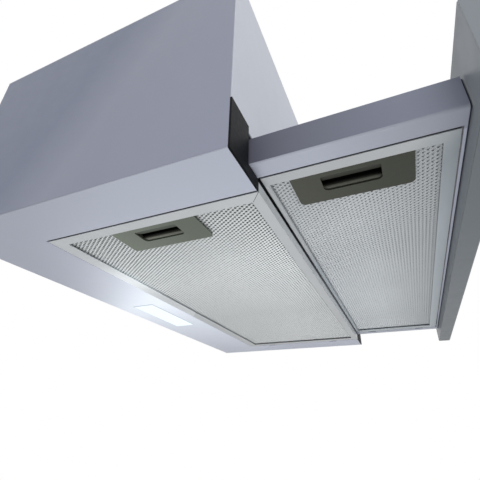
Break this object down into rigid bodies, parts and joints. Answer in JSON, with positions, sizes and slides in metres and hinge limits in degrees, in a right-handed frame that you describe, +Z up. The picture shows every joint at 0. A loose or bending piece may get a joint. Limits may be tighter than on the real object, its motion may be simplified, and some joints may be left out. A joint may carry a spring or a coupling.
{
  "type": "built-in telescopic range hood",
  "caption": "Built-in cabinet range hood with a pull-out drawer, hinged grease filters, a lit underside and a double-inlet blower below a round duct collar.",
  "frame": {"origin": "centre of the top plate's outer face, which is the centre of the cabinet screws and of the duct spigot", "axes": "+X to the right seen from the front, along the width; +Y to the back, the drawer pulls out towards -Y; +Z up"},
  "size_m": [0.598, 0.4468, 0.232],
  "materials": {
    "casing_paint": "satin",
    "light_sheet": "satin",
    "fascia_paint": "satin",
    "black_paint": "satin",
    "cheek_plastic": "matte",
    "filter_aluminium": "satin",
    "handle_plastic": "matte",
    "latch_plastic": "matte",
    "slide_steel": "zinc plated",
    "zinc_steel": "zinc plated",
    "lens": "frosted",
    "board": "matte",
    "black_plastic": "matte",
    "white_plastic": "matte",
    "button_plastic": "gloss"
  },
  "bodies": {
    "casing": {"casing_shell": "casing_paint", "top_plate": "light_sheet", "front_plate": "light_sheet", "bottom_frame": "light_sheet", "cheek_left": "cheek_plastic", "cheek_right": "cheek_plastic", "rail_carrier_left": "zinc_steel", "rail_carrier_right": "zinc_steel", "rail_fixed_left": "slide_steel", "rail_fixed_right": "slide_steel", "lamp_housing": "white_plastic", "lamp_board": "white_plastic", "lamp_lens": "lens", "led_driver": "white_plastic", "scroll_left": "black_plastic", "scroll_right": "black_plastic", "inlet_ring_left": "white_plastic", "inlet_ring_right": "white_plastic", "motor_bracket": "slide_steel", "motor": "zinc_steel", "outlet_collar": "black_plastic", "control_box": "white_plastic", "control_box_lid": "white_plastic", "motor_capacitor": "zinc_steel", "terminal_block": "black_plastic", "cable_gland": "black_plastic", "microswitch": "black_plastic", "collar_screws": "slide_steel", "blower_screws": "slide_steel"},
    "blower_wheel": {"impeller": "white_plastic", "motor_shaft": "slide_steel"},
    "flap_front": {"flap_front": "white_plastic"},
    "flap_rear": {"flap_rear": "white_plastic"},
    "rear_filter": {"rear_filter_frame": "filter_aluminium", "rear_filter_mesh": "filter_aluminium", "rear_filter_handle": "handle_plastic"},
    "rear_latch": {"rear_filter_latch": "latch_plastic"},
    "drawer": {"drawer_frame": "light_sheet", "drawer_crossbar": "black_paint", "fascia_shell": "fascia_paint", "fascia_back": "fascia_paint", "fascia_cap_left": "fascia_paint", "fascia_cap_right": "fascia_paint", "button_bezel": "black_plastic", "button_board": "board", "rail_drawer_left": "slide_steel", "rail_drawer_right": "slide_steel", "drawer_screws": "slide_steel"},
    "front_filter": {"front_filter_frame": "filter_aluminium", "front_filter_mesh": "filter_aluminium", "front_filter_handle": "handle_plastic"},
    "front_latch": {"front_filter_latch": "latch_plastic"},
    "rail_middle_left": {"rail_middle_left": "zinc_steel"},
    "rail_middle_right": {"rail_middle_right": "zinc_steel"},
    "button_light": {"button_light": "button_plastic"},
    "button_low": {"button_low": "button_plastic"},
    "button_medium": {"button_medium": "button_plastic"},
    "button_high": {"button_high": "button_plastic"},
    "microswitch_lever": {"microswitch_lever": "slide_steel"}
  },
  "joints": [
    {"name": "drawer_slide", "type": "slide", "parent": "casing", "child": "drawer", "axis": [0, -1, 0], "range_m": [-0.133, 0]},
    {"name": "rail_left_slide", "type": "slide", "parent": "casing", "child": "rail_middle_left", "axis": [0, -1, 0], "range_m": [-0.0665, 0]},
    {"name": "rail_right_slide", "type": "slide", "parent": "casing", "child": "rail_middle_right", "axis": [0, -1, 0], "range_m": [-0.0665, 0]},
    {"name": "rear_filter_hinge", "type": "hinge", "parent": "casing", "child": "rear_filter", "pos_m": [0.254, -0.0405, -0.1967], "axis": [0, -1, 0], "range_deg": [0, 60]},
    {"name": "rear_latch_slide", "type": "slide", "parent": "rear_filter", "child": "rear_latch", "axis": [1, 0, 0], "range_m": [0, 0.006], "stiffness_N_per_m": 300},
    {"name": "front_filter_hinge", "type": "hinge", "parent": "drawer", "child": "front_filter", "pos_m": [0.2528, -0.212, -0.1847], "axis": [0, -1, 0], "range_deg": [0, 60]},
    {"name": "front_latch_slide", "type": "slide", "parent": "front_filter", "child": "front_latch", "axis": [1, 0, 0], "range_m": [0, 0.006], "stiffness_N_per_m": 300},
    {"name": "front_flap_hinge", "type": "hinge", "parent": "casing", "child": "flap_front", "pos_m": [0, -0.0045, 0.0074], "axis": [-1, 0, 0], "range_deg": [0, 75]},
    {"name": "rear_flap_hinge", "type": "hinge", "parent": "casing", "child": "flap_rear", "pos_m": [0, 0.0045, 0.0074], "axis": [1, 0, 0], "range_deg": [0, 75]},
    {"name": "wheel_spin", "type": "hinge", "parent": "casing", "child": "blower_wheel", "pos_m": [0, 0.057, -0.066], "axis": [1, 0, 0], "continuous": true},
    {"name": "light_button_push", "type": "slide", "parent": "drawer", "child": "button_light", "axis": [0, 1, 0], "range_m": [0, 0.0015], "stiffness_N_per_m": 400},
    {"name": "low_button_push", "type": "slide", "parent": "drawer", "child": "button_low", "axis": [0, 1, 0], "range_m": [0, 0.0015], "stiffness_N_per_m": 400},
    {"name": "medium_button_push", "type": "slide", "parent": "drawer", "child": "button_medium", "axis": [0, 1, 0], "range_m": [0, 0.0015], "stiffness_N_per_m": 400},
    {"name": "high_button_push", "type": "slide", "parent": "drawer", "child": "button_high", "axis": [0, 1, 0], "range_m": [0, 0.0015], "stiffness_N_per_m": 400},
    {"name": "microswitch_lever_hinge", "type": "hinge", "parent": "casing", "child": "microswitch_lever", "pos_m": [-0.265, 0.101, -0.161], "axis": [1, 0, 0], "range_deg": [0, 7], "stiffness_Nm_per_rad": 0.02}
  ],
  "couplings": [
    {"joint": "rail_left_slide", "follows": "drawer_slide", "ratio": 0.5},
    {"joint": "rail_right_slide", "follows": "drawer_slide", "ratio": 0.5}
  ]
}
